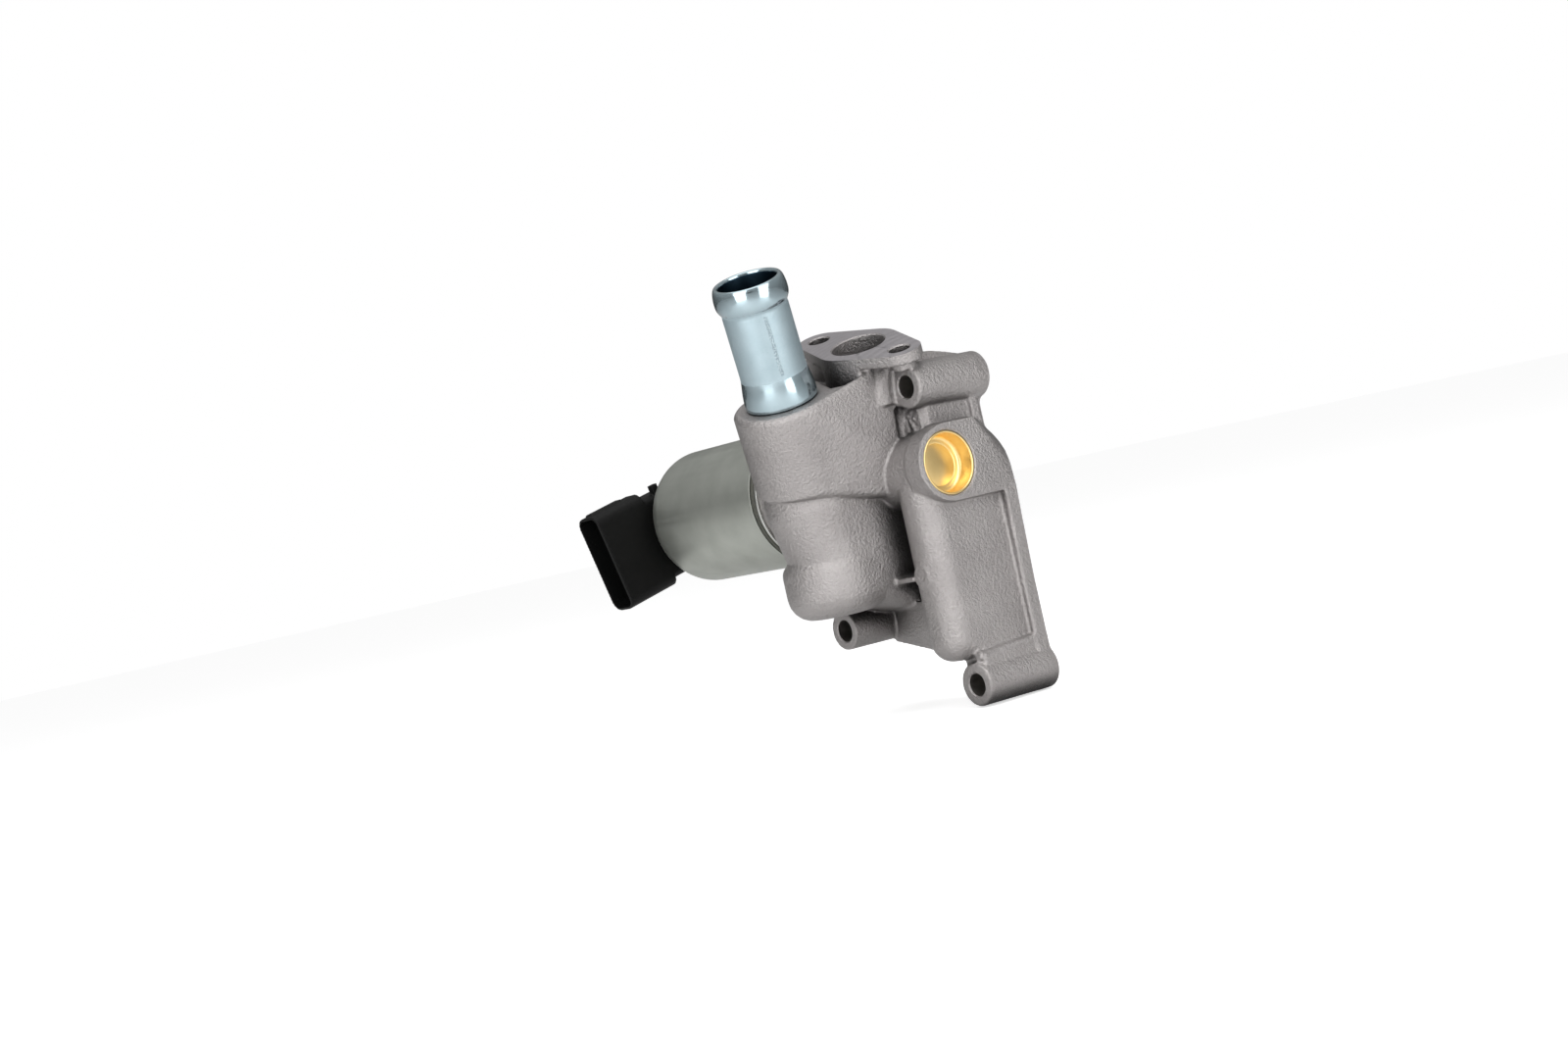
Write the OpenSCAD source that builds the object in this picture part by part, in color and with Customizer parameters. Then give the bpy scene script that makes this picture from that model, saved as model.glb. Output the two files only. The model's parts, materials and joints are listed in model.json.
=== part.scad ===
// Exhaust gas recirculation valve: die-cast housing with gas and coolant
// passages, poppet valve on a cross axis, pull solenoid with position sensor,
// hose spigot. Origin: axis of the lower bolt hole on the mounting face.
// +Y is the normal of the mounting face, +Z runs up along the coolant duct.

/* [Mounting face] */
// Height of the upper bolt above the lower bolt on the long side
bolt_span = 89.9; // [88:0.1:92]
// Clearance hole for the four mounting bolts
bolt_hole = 6.8; // [6.4:0.1:7.2]
// Length of the two long bolt bosses
boss_len = 27.2; // [25:0.1:28]
// Thickness of the mounting plate
plate_t = 4.5; // [4:0.1:5.5]

/* [Valve axis] */
// Distance of the valve axis in front of the mounting face
axis_y = 23.55; // [23.4:0.05:23.7]
// Height of the valve axis above the lower bolt
axis_z = 65.56; // [65.4:0.02:65.7]
// Lift of the poppet
lift = 5; // [3:0.5:5]

/* [Hose spigot] */
// Outer diameter of the hose spigot
spigot_d = 20; // [19:0.1:20.4]
// Free length of the spigot above the deck
spigot_len = 38.2; // [34:0.2:42]

/* [Pipe flange] */
// Port of the pipe flange
port_d = 16.4; // [14:0.1:17]
// Distance between the two flange holes
flange_pitch = 37.4; // [36:0.1:39]

// Thickness of the pipe flange's lobes
flange_t = 3.4; // [3.2:0.1:4.8]

/* [Solenoid] */
// Outer diameter of the solenoid can
can_d = 44; // [43.6:0.1:44.6]
// Distance of the can's end from the lower bolt axis
can_end = 129; // [127:0.5:131]

/* [Connector] */
// Turn of the plug socket about the valve axis
plug_turn = 13.3; // [8:0.1:18]
// Number of contact pins
pins = 5; // [3:1:6]

/* [Hidden] */
$fn = 48;

cast = [0.64, 0.62, 0.60];
zinc = [0.71, 0.77, 0.79];
steel = [0.62, 0.63, 0.60];
black = [0.11, 0.11, 0.12];

// bolt axes on the mounting face, as [x, z]
pA = [-2.7, bolt_span];
pC = [-48.5, 21.6];
pD = [0, 0];
pE = [-49.7, 81.9];
// spigot base and flange centre, and the tilt that both share
tilt = [15.3, 14.2, 0];
tb = [-24.7, -56, 93.7];
fc = [-18.6, -28.3, 105.9];
// end face of the drum along the valve axis, and the turns of its screws
face_h = 63.4;
screw_turns = [0, 120, 240];
// the closed armature: its ends along the valve axis, and the pole beyond it
arm_h = 76;
arm_len = 22;
pole_h = arm_h + arm_len + lift + 1;
pole_end = 112.2;

// local z points out of the mounting face, local xy is the face's xz
module out(p = [0, 0], y = 0) translate([p[0], y, p[1]]) rotate([90, 0, 0]) children();
// local z points along the valve axis away from the plug; h is -x
module va(h = 0) translate([-h, -axis_y, axis_z]) rotate([0, -90, 0]) children();
// local z points along the spigot and the flange normal
module tz(p) translate(p) rotate(tilt) children();
module box(a, b) translate(a) cube([b[0] - a[0], b[1] - a[1], b[2] - a[2]]);
// ring along the valve axis from h0 to h1
module ring(h0, h1, ro, ri) va(h0) difference() {
    cylinder(h = h1 - h0, r = ro);
    if (ri > 0) translate([0, 0, -1]) cylinder(h = h1 - h0 + 2, r = ri);
}
function arc(cx, cy, r, a0, a1, n = 6) =
    [for (i = [0:n]) [cx + r * cos(a0 + (a1 - a0) * i / n), cy + r * sin(a0 + (a1 - a0) * i / n)]];

// long edge of the plate from the lower lobe up to the neck
shoulder = [[4.6, 10], [4.5, 26], [5, 45], [5.4, 55], [4.9, 61.5], [3.9, 65.3], [2.2, 68.3], [0.1, 70.9], [-2.7, 73.6]];
// outline of the mounting plate
module plate2d() {
    offset(r = -2.5) offset(r = 2.5) {
        for (p = [pA, pE]) translate(p) circle(7.1);
        for (p = [pC, pD]) translate(p) circle(6.8);
        // coolant side with its shoulder and the neck to the upper lobe
        polygon(concat(shoulder, [[-2.7, 84], [-16, 84], [-16, 74], [-14.6, 10], [-12, 5.5], [-5, 1], [4.9, 0]]));
        // gas port
        polygon([[-51, 44.6], [-53.6, 42], [-54.4, 38], [-52.5, 29], [-48, 22.6], [-42, 22.2], [-12, 23], [-12, 50], [-44, 50]]);
        // closed chamber
        intersection() {
            translate([-19.5, 70.5]) circle(27.4);
            polygon([[-47, 53], [-43, 49], [-5, 48], [-5, 80], [-8, 96], [-20, 99], [-47, 99]]);
        }
    }
}

// blind chamber in the mounting face
module chamber2d() intersection() {
    translate([-19.5, 70.5]) circle(23.6);
    polygon([[-43.2, 57], [-28.5, 57], [-28.5, 73.5], [-13.8, 78.5], [-13.2, 100], [-50, 100], [-50, 57]]);
}

// pipe flange: middle circle with two lobes tangent to it
mid_r = 12.4;
lobe_r = 6.6;
module lobe2d(s) {
    c = 2 * (mid_r - lobe_r) / flange_pitch;
    k = sqrt(1 - c * c);
    far = flange_pitch / 2 + lobe_r * c;
    translate([s * flange_pitch / 2, 0]) circle(lobe_r);
    polygon([[s * mid_r * c, mid_r * k], [s * far, lobe_r * k], [s * far, -lobe_r * k], [s * mid_r * c, -mid_r * k]]);
}
module flange2d() {
    circle(mid_r);
    for (s = [-1, 1]) lobe2d(s);
}

module tower_hull() hull() {
    tz(tb) translate([0, 0, -25.8]) cylinder(h = 24.6, r = 15.3);
    tz(tb) translate([0, 0, -0.1]) cylinder(h = 0.1, r = 14.2);
    tz(tb) translate([11.2, 27, -4]) cylinder(h = 2.8, r = 3, $fn = 24);
    tz(tb) translate([11.2, 27, -1]) cylinder(h = 1, r = 1.8, $fn = 24);
    tz(tb) translate([-7, 32, -16]) cylinder(h = 15, r = 8, $fn = 24);
    out() linear_extrude(5) intersection() {
        translate([-19.5, 70.5]) circle(27.2);
        polygon([[-47, 55], [-9, 55], [-9, 95], [-20, 98], [-47, 98]]);
    }
    translate([-20, -33, 63.2]) cylinder(h = 1, r = 3, $fn = 24);
    box([-45, -40, 63.2], [-17, 0, 65]);
}

// the tower's deck is sunk behind the spigot, with a rim on the plug's side
module tower_solid() difference() {
    tower_hull();
    intersection() {
        tz(tb) translate([0, 45, 0]) rotate([90, 0, 0]) linear_extrude(35) polygon([[-30, -4.5], [8.2, -4.5], [12.4, -0.3], [12.4, 10], [-30, 10]]);
        tz(tb) translate([0, 0, -5]) linear_extrude(16) polygon([[-30, 14.6], [-0.4, 14.7], [9.3, 11.6], [12.6, 14.5], [12.6, 45], [-30, 45]]);
    }
}

// elbow below the tower: round front, flat sides back to the plate
module elbow_solid() hull() {
    translate([-32.4, -47.2, 60]) cylinder(h = 6, r = 14.4);
    translate([-32.6, -42.4, 34]) cylinder(h = 15, r = 12.6);
    out([-42, 32]) cylinder(h = 20, r = 7.5, $fn = 32);
    out([-26, 32]) cylinder(h = 20, r = 7.5, $fn = 32);
    box([-49.5, -10, 50], [-18.5, 0, 64]);
}
module elbow_bulge() hull() {
    translate([-34, -44, 0]) rotate_extrude() polygon(concat([[0, 27.6]], arc(7.8, 35.1, 7.5, -90, 0, 5), arc(11.1, 42, 4.2, 0, 80, 4), [[0, 46.4]]));
    box([-48, -30, 35], [-20, -20, 40]);
}
module duct_solid() hull() {
    for (x = [-6.4, -4.2]) {
        translate([x, -27, 14.2]) sphere(6.6, $fn = 32);
        translate([x, -27, 14.2]) cylinder(h = 50, r = 6.6, $fn = 32);
    }
    box([-13, -6, 7.6], [2.4, 0, 64]);
    box([-12.6, -20, 7.8], [2.2, 0, 64]);
}

module housing() color(cast) difference() {
    union() {
        out() linear_extrude(plate_t) plate2d();
        duct_solid();
        tower_solid();
        elbow_solid();
        elbow_bulge();
        // bolt bosses
        out(pA) cylinder(h = boss_len, r1 = 7.1, r2 = 6.6);
        out(pD) cylinder(h = boss_len, r1 = 6.8, r2 = 6.5);
        out(pC) cylinder(h = 33.7, r1 = 6.4, r2 = 6);
        out(pE) cylinder(h = 31, r1 = 7.1, r2 = 6.8);
        // boss and pad of the cup plug, neck to the tower
        va(-5.5) cylinder(h = 7.5, r = 11.5);
        va(0) cylinder(h = 20, r = 10.7);
        box([-18, -axis_y, axis_z - 10.7], [-4, 0, axis_z + 10.7]);
        hull() {
            box([-10, -axis_y, 54.06], [5.5, -11, 77.4]);
            out() linear_extrude(1) polygon(concat([[-10, 54.06], [5.3, 54.06]], [for (p = shoulder) if (p[1] > 55) p], [[-10, 77]]));
        }
        // web between the upper boss and the plug boss, with its ledge
        translate([0, 0, 72]) linear_extrude(14) polygon([[-10.4, -22.6], [-9.6, -23.8], [-3.4, -24], [-1, -22.4], [-1, -4], [-10.4, -4]]);
        box([-10, -6.4, 72], [0.4, -2.8, 85]);
        // rib that carries the flange's right lobe on the upper boss
        out() linear_extrude(boss_len) polygon([[-2.7, 84], [-11.9, 85], [-9.2, 96.8], [-2.7, 96.8]]);
        out([0, 0], -18) linear_extrude(boss_len - 18) polygon([[-2.7, 90], [-10.8, 90], [-9.2, 96.8], [-8.9, 100], [-2.7, 98.5]]);
        out() linear_extrude(boss_len - 1.4) polygon([[-8, 84.4], [-16, 84.4], [-16, 97], [-8, 97]]);
        translate([-13, 0, 0]) rotate([90, 0, 90]) linear_extrude(8) polygon([[-24, 90], [-24, 98.6], [-18, 99.6], [-13, 99.5], [-7, 98.4], [-2, 97.2], [-1, 96.4], [-1, 90]]);
        // drum that carries the solenoid
        va(44.4) cylinder(h = face_h - 44.4, r = 20.5);
        // pipe flange and its column
        tz(fc) translate([0, 0, -flange_t]) linear_extrude(flange_t) flange2d();
        tz(fc) translate([0, 0, -18]) linear_extrude(15.4) {
            circle(mid_r);
            intersection() {
                lobe2d(1);
                translate([0, -mid_r]) square([10, 2 * mid_r]);
            }
        }
        tz(fc) translate([-14, -7.5, -14]) cube([28, 15, 10]);
        // wall from the short boss to the duct, thin web in the gap
        hull() {
            box([-47, -16, 14.4], [-45, 0, 25]);
            box([-13, -28, 11.2], [-11, 0, 27]);
        }
        box([-20, -33, 33.2], [-11, 0, 34.8]);
        // ejector pad on the duct
        out([-6.4, 34.4], -20) cylinder(h = 13.9, r = 3.4);
    }
    // everything behind the mounting face
    box([-90, 0, -20], [40, 40, 130]);
    // bolt holes and the access to the hidden bolt
    for (p = [pA, pC, pD, pE]) out(p, 1) cylinder(h = 40, d = bolt_hole);
    out(pE, -31) cylinder(h = 50, r = 7.2);
    // coolant: slot, duct, crossover, passage to the spigot
    box([-10, -26, 11.5], [-0.9, 1, 54]);
    translate([-5.45, -26, 11.5]) cylinder(h = 42.5, r = 4.55);
    box([-10, -28, 50], [-3.2, 1, 69]);
    box([-22.8, -30, 59.5], [-5, 1, 70]);
    box([-22.8, -40, 62], [-19.6, -29, 75]);
    box([-31, -50, 62], [-19.6, -38, 72]);
    tz(tb) translate([0, 0, -27]) cylinder(h = 18, r = 8);
    tz(tb) translate([0, 0, -10]) cylinder(h = 20, d = spigot_d);
    // seat of the cup plug and the line bore behind it
    va(-7) cylinder(h = 8.5, r = 9.6);
    va(0) cylinder(h = 30, r = 8.5);
    // gas: blind chamber, flange port, valve chamber, elbow, port in the face
    out([0, 0], 1) linear_extrude(13) chamber2d();
    intersection() {
        out([0, 0], 1) linear_extrude(35) chamber2d();
        union() {
            box([-41, -40, 50], [-28.6, 2, 92]);
            box([-41, -40, 76.4], [-21, 2, 92]);
        }
    }
    va(28.6) cylinder(h = 15, r = 7);
    tz(fc) translate([0, 0, -26]) cylinder(h = 30, d = port_d);
    for (s = [-1, 1]) tz(fc) translate([s * flange_pitch / 2, 0, -6]) cylinder(h = 8, d = 6.4);
    va(43) cylinder(h = 6, r = 9.3);
    va(48.2) cylinder(h = 14, r = 10);
    va(face_h - 4.8) cylinder(h = 10, r = 12);
    intersection() {
        va(43) cylinder(h = face_h - 48.4, r = 17.8);
        union() {
            box([-56.4, -34, 46], [-49.4, -13, axis_z]);
            box([-56.4, -34, 46], [-42, -13, 54]);
        }
    }
    translate([0, 0, 31]) linear_extrude(22) polygon([[-46.4, -3], [-21.6, -3], [-23.2, -40], [-42.8, -40]]);
    box([-46.4, -18, 28], [-21.6, -3, 53]);
    translate([-33, -40, 31]) cylinder(h = 22, r = 9.8);
    out([0, 0], 1) linear_extrude(6) polygon([[-46.4, 40], [-46.4, 29], [-44, 28], [-21.6, 28], [-21.6, 43.5]]);
    // tapped holes for the base plate
    for (a = screw_turns) va(face_h - 7.8) rotate([0, 0, a]) translate([16.2, 0, 0]) cylinder(h = 9, r = 1.9, $fn = 24);
}

module hose_spigot() color(zinc) tz(tb) rotate_extrude($fn = 64) polygon(concat(
    [[8.9, -10], [spigot_d / 2, -10], [spigot_d / 2, 0], [11, 0.2], [11, 4.4], [spigot_d / 2 + 0.1, 9.2], [spigot_d / 2, 10]],
    [for (q = [[0, 9], [0.3, 7.8], [0.9, 5.8], [1, 4.2], [0.9, 2], [0.5, 0.6], [-0.1, 0]]) [spigot_d / 2 + q[0], spigot_len - q[1]]],
    [[8.9, spigot_len]]));

module core_plug() color([0.87, 0.66, 0.27]) va(-5.15) difference() {
    rotate_extrude() polygon(concat([[0, 6.6]], arc(8.1, 5.1, 1.5, 90, 0, 4), [[9.6, 0.3], [9.3, 0], [0, 0]]));
    translate([0, 0, -1]) cylinder(h = 6.4, r = 8.75);
}

module bore_plug() color(zinc) va(23.6) difference() {
    cylinder(h = 4.6, r = 8.5);
    translate([0, 0, 1.2]) cylinder(h = 4, r = 7.4);
}

module seat_ring() color([0.55, 0.55, 0.56]) va(43.4) difference() {
    cylinder(h = 5.2, r = 9.3);
    translate([0, 0, -1]) cylinder(h = 8, r = 6.6);
    translate([0, 0, 3.6]) cylinder(h = 1.61, r1 = 6.6, r2 = 8.2);
}

// poppet, 0.15 mm off its seat so that the cones stay clear
module valve_head() color([0.50, 0.49, 0.48]) va(45.15) difference() {
    rotate_extrude() polygon([[0, 0], [4, 0], [6.4, 1.8], [8.15, 3.55], [8.15, 4.6], [4.2, 5.4], [3.6, 6.7], [0, 6.7]]);
    translate([0, 0, 1.6]) cylinder(h = 9, r = 2.6);
}

module valve_stem() color([0.70, 0.70, 0.71]) va(46.75) cylinder(h = arm_h + 7 - 46.75, r = 2.6);

module stem_bush() color([0.72, 0.55, 0.35]) ring(face_h - 4.7, face_h + 3.6, 5, 2.68);

// dished washer that keeps soot off the bush
module stem_shield() color(steel) va(face_h - 6) difference() {
    union() {
        cylinder(h = 0.7, r = 9.2);
        cylinder(h = 1.3, r = 7.4);
    }
    translate([0, 0, -1]) cylinder(h = 6, r = 2.9);
}

// disc between drum and can, with the pilot in the drum's bore
module base_plate() color([0.75, 0.76, 0.74]) difference() {
    union() {
        va(face_h) cylinder(h = 1.2, r = can_d / 2 - 0.6);
        va(face_h) cylinder(h = 5.8, r = 20.3);
        va(face_h - 4.7) cylinder(h = 6, r = 11.95);
    }
    va(face_h - 6) cylinder(h = 14, r = 5);
    for (a = screw_turns) va(face_h - 5) rotate([0, 0, a]) translate([16.2, 0, 0]) {
        cylinder(h = 14, r = 2.1, $fn = 24);
        translate([0, 0, 8.5]) cylinder(h = 5, r = 3.5, $fn = 24);
    }
}

module base_screws() color(zinc) for (a = screw_turns)
    va(face_h - 7.4) rotate([0, 0, a]) translate([16.2, 0, 0]) difference() {
        union() {
            cylinder(h = 10.9, r = 1.9, $fn = 24);
            translate([0, 0, 10.9]) cylinder(h = 2.1, r = 3.3, $fn = 24);
        }
        translate([0, 0, 11.6]) cylinder(h = 3, r = 1.5, $fn = 6);
    }

module base_seal() color(black) ring(face_h + 1.2, face_h + 2.8, can_d / 2 - 0.7, 20.3);

module solenoid_can() color(steel) difference() {
    va() rotate_extrude($fn = 96) polygon(concat(
        [[20.5, face_h + 2.8], [can_d / 2 - 0.4, face_h + 2.8], [can_d / 2, face_h + 3.3]], arc(can_d / 2 - 9.5, can_end - 9.5, 9.5, 0, 90, 10),
        [[9, can_end], [9, can_end - 1.5]], arc(can_d / 2 - 9.5, can_end - 9.5, 8, 90, 0, 8), [[20.5, can_end - 11]]));
}

module front_washer() color(steel) ring(69.2, 73.2, 20.2, 9.2);

module armature_sleeve() color([0.78, 0.76, 0.70]) ring(69.2, pole_end, 9.2, 8.8);

module coil_bobbin() color([0.20, 0.21, 0.22]) union() {
    ring(73.2, 74.8, 19.8, 9.2);
    ring(74.8, 108.2, 10.6, 9.2);
    ring(108.2, 109.8, 19.8, 9.2);
}

module coil_winding() color([0.72, 0.40, 0.20]) ring(74.8, 108.2, 18.8, 10.6);

module back_washer() color(steel) ring(109.8, pole_end, 20.2, 9.2);

// pole face that the armature is pulled to, with the spring's pocket
module back_pole() color([0.60, 0.61, 0.60]) difference() {
    ring(pole_h, pole_end, 8.8, 2.3);
    va(pole_h - 1) cylinder(h = 109 - pole_h, r = 5.3);
}

module armature() color([0.66, 0.66, 0.65]) va(arm_h) difference() {
    cylinder(h = arm_len, r = 8.72);
    translate([0, 0, -1]) cylinder(h = 8, r = 2.6);
    translate([0, 0, 10]) cylinder(h = 20, r = 5.3);
    translate([0, 0, 8]) cylinder(h = 4, r = 1.8, $fn = 32);
}

// one closed tube along a helix
spring_turns = 6.5;
spring_n = 78;
spring_k = 8;
function coil_pt(i) = let (a = 360 * spring_turns * i / spring_n)
    [3.9 * cos(a), 3.9 * sin(a), 0.62 + (20.7 * i / spring_n)];
module return_spring() color([0.58, 0.60, 0.62]) va(86.05) polyhedron(
    points = [for (i = [0:spring_n]) let (a = 360 * spring_turns * i / spring_n, c = coil_pt(i))
        for (j = [0:spring_k - 1]) let (b = 360 * j / spring_k)
            c + 0.55 * [cos(b) * cos(a), cos(b) * sin(a), sin(b)]],
    faces = concat([[for (j = [0:spring_k - 1]) j]],
        [for (i = [0:spring_n - 1]) for (j = [0:spring_k - 1]) let (q = (j + 1) % spring_k)
            [i * spring_k + j, (i + 1) * spring_k + j, (i + 1) * spring_k + q, i * spring_k + q]],
        [[for (j = [spring_k - 1:-1:0]) spring_n * spring_k + j]]));

module sensor_pin() color([0.80, 0.80, 0.80]) va(84) cylinder(h = 34.6, r = 1.8, $fn = 32);

module sensor_wiper() color([0.85, 0.70, 0.45]) va(115.6) difference() {
    union() {
        cylinder(h = 3, r = 3.4, $fn = 32);
        translate([-1.5, 2, 0.4]) cube([3, 4, 2.2]);
    }
    translate([0, 0, -1]) cylinder(h = 6, r = 1.8, $fn = 32);
}

module sensor_carrier() color([0.15, 0.42, 0.25]) va(pole_end) translate([-2.3, 6.2, 0]) cube([4.6, 1, 14.8]);

// socket frame: local x along the narrow side (-x), y away from the mouth, z up the long side
module sock() translate([0, -axis_y, axis_z]) rotate([plug_turn, 0, 0]) children();
module round_slab(x0, x1, y0, y1, hz, r) translate([0, y1, 0]) rotate([90, 0, 0])
    linear_extrude(y1 - y0) offset(r = r) translate([x0 + r, -hz + r]) square([x1 - x0 - 2 * r, 2 * hz - 2 * r]);

module connector_shell() color(black) difference() {
    union() {
        // inner carrier and neck through the can's end
        ring(pole_end, pole_end + 2, 19.6, 7.8);
        ring(pole_end, can_end + 0.4, 8.95, 7.8);
        // cap outside the can
        va(can_end) cylinder(h = 11.4, r = 13);
        sock() {
            translate([0, -8, 0]) round_slab(-140.4, -129, -11, 8, 14.5, 2.5);
            round_slab(-141.2, -129, -36.9, -17, 16.7, 3.6);
            // polarising ribs and the latch step
            translate([-134.8, -29, 16.4]) cube([4, 13, 2], center = true);
            translate([-130.4, -10.6, 15.2]) cube([2.8, 2.4, 4], center = true);
        }
    }
    // socket, slots of the contact pins, and the hollow for the sensor
    sock() round_slab(-139.6, -130.6, -38, -21, 15, 2.6);
    pin_bars(-22);
    va(120) cylinder(h = 12, r = 7.8);
}

// the bars of the contact pins, from y0 back into the socket's floor
module pin_bars(y0) sock() for (i = [0:pins - 1])
    translate([-135.1, y0, (i - (pins - 1) / 2) * 4.6 - 0.32]) cube([0.7, -15 - y0, 0.64]);

module contact_pins() color([0.78, 0.72, 0.50]) pin_bars(-28);

housing();
hose_spigot();
core_plug();
bore_plug();
seat_ring();
valve_head();
valve_stem();
stem_bush();
stem_shield();
base_plate();
base_screws();
base_seal();
solenoid_can();
front_washer();
armature_sleeve();
coil_bobbin();
coil_winding();
back_washer();
back_pole();
armature();
return_spring();
sensor_pin();
sensor_carrier();
sensor_wiper();
connector_shell();
contact_pins();
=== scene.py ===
# Exhaust gas recirculation valve: finish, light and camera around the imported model
import json
import math
import bpy
from mathutils import Matrix, Vector

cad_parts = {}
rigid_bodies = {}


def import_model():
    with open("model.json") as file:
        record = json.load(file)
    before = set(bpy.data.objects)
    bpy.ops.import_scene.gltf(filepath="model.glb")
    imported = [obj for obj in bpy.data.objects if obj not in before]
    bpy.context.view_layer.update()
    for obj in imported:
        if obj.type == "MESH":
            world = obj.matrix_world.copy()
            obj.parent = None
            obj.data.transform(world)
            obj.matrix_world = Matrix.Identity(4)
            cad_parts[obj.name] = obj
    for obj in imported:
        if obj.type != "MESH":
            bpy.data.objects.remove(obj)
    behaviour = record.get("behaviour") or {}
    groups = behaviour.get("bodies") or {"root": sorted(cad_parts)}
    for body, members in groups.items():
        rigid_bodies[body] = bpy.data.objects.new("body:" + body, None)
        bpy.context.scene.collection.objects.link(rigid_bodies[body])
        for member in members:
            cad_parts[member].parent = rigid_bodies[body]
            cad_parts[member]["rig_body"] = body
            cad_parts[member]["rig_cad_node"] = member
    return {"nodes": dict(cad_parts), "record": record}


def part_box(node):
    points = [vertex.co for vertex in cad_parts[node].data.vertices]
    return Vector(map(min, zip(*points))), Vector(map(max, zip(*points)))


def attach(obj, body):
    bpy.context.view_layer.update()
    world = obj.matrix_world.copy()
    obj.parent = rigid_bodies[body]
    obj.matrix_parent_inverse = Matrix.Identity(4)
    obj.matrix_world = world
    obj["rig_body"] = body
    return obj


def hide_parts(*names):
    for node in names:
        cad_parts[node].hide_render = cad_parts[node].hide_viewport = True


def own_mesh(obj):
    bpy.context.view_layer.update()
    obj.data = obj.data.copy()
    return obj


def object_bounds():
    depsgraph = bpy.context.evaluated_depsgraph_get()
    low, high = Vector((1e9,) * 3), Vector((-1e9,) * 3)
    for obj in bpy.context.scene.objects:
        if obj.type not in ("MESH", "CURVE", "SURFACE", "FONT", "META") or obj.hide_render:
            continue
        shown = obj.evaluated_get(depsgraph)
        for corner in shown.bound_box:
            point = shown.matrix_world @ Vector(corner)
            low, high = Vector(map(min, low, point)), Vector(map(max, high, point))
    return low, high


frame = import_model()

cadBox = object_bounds()
mm = 0.001
up = Vector((0, 0, 1))
mounts = {mount["name"]: mount for mount in frame["record"]["mounts"]}
nodeWeld = 0.001         # corners of a CAD node that lie closer than this are merged, mm
latheWeld = 0.004        # the same on a turned piece
latheCentre = 0.001      # radius that stands for a point on the lathe's axis, mm


# helpers for selecting, placing, turning and cutting
def deselect():
    for obj in bpy.context.selected_objects:
        obj.select_set(False)


def activate(obj):
    deselect()
    obj.select_set(True)
    bpy.context.view_layer.objects.active = obj


def applyPlace(obj):
    activate(obj)
    bpy.ops.object.transform_apply(location=True, rotation=True, scale=True)


def applyModifier(obj, kind, **settings):
    activate(obj)
    modifier = obj.modifiers.new(kind.lower(), kind)
    for key, value in settings.items():
        setattr(modifier, key, value)
    bpy.ops.object.modifier_apply(modifier=modifier.name)


def pickFaces(obj, test):
    # opens the piece in edit mode with only the faces that pass the test selected
    activate(obj)
    bpy.context.tool_settings.mesh_select_mode = (False, False, True)
    bpy.ops.object.mode_set(mode="EDIT")
    bpy.ops.mesh.select_all(action="DESELECT")
    bpy.ops.object.mode_set(mode="OBJECT")
    for face in obj.data.polygons:
        face.select = test(face)
    bpy.ops.object.mode_set(mode="EDIT")


def leaveEdit():
    bpy.ops.object.mode_set(mode="OBJECT")


def copyNode(node, name):
    # a free copy of a CAD node, its loose triangles merged
    obj = frame["nodes"][node].copy()
    obj.data = obj.data.copy()
    obj.name = name
    obj.parent = None
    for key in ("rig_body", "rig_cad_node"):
        if key in obj:
            del obj[key]
    obj.matrix_world = Matrix.Identity(4)
    bpy.context.collection.objects.link(obj)
    obj.hide_render = False
    activate(obj)
    bpy.ops.object.mode_set(mode="EDIT")
    bpy.ops.mesh.select_all(action="SELECT")
    bpy.ops.mesh.remove_doubles(threshold=nodeWeld * mm)
    leaveEdit()
    return obj


def joinAll(target, others):
    activate(target)
    for obj in others:
        obj.select_set(True)
    bpy.ops.object.join()


def turned(name, profile, place, steps=96):
    # a ring carried along the profile's (radius, height) points in mm, as on a lathe
    radius, height = profile[0]
    start = max(radius, latheCentre)
    deselect()
    bpy.ops.mesh.primitive_circle_add(vertices=steps, radius=start * mm, location=(0, 0, height * mm))
    obj = bpy.context.object
    obj.name = name
    applyPlace(obj)
    bpy.ops.object.mode_set(mode="EDIT")
    bpy.context.tool_settings.mesh_select_mode = (True, False, False)
    bpy.ops.mesh.select_all(action="SELECT")
    last = start
    for radius, nextHeight in profile[1:]:
        radius = max(radius, latheCentre)
        bpy.ops.mesh.extrude_region_move(
            TRANSFORM_OT_translate={"value": (0, 0, (nextHeight - height) * mm)})
        bpy.ops.transform.resize(value=(radius / last, radius / last, 1),
                                 center_override=(0, 0, nextHeight * mm))
        last, height = radius, nextHeight
    bpy.ops.mesh.select_all(action="SELECT")
    bpy.ops.mesh.remove_doubles(threshold=latheWeld * mm)
    bpy.ops.mesh.normals_make_consistent(inside=False)
    leaveEdit()
    obj.matrix_world = place
    applyPlace(obj)
    return obj


def arcPoints(centreR, centreH, radius, start, end, steps):
    return [(centreR + radius * math.cos(math.radians(start + (end - start) * i / steps)),
             centreH + radius * math.sin(math.radians(start + (end - start) * i / steps)))
            for i in range(steps + 1)]


def softened(points, steps=4):
    # a smooth curve through the profile's points
    curve = []
    padded = [points[0]] + points + [points[-1]]
    for neighbours in zip(padded, padded[1:], padded[2:], padded[3:]):
        for j in range(steps):
            t = j / steps
            curve.append(tuple(0.5 * (2 * b + (c - a) * t + (2 * a - 5 * b + 4 * c - d) * t * t
                                      + (3 * b - a - 3 * c + d) * t ** 3)
                               for a, b, c, d in zip(*neighbours)))
    return curve + [points[-1]]


def placeAlong(point, axis):
    # puts a piece made along Z onto a point and axis of the frame
    return Matrix.Translation(Vector(point)) @ up.rotation_difference(Vector(axis)).to_matrix().to_4x4()


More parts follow.
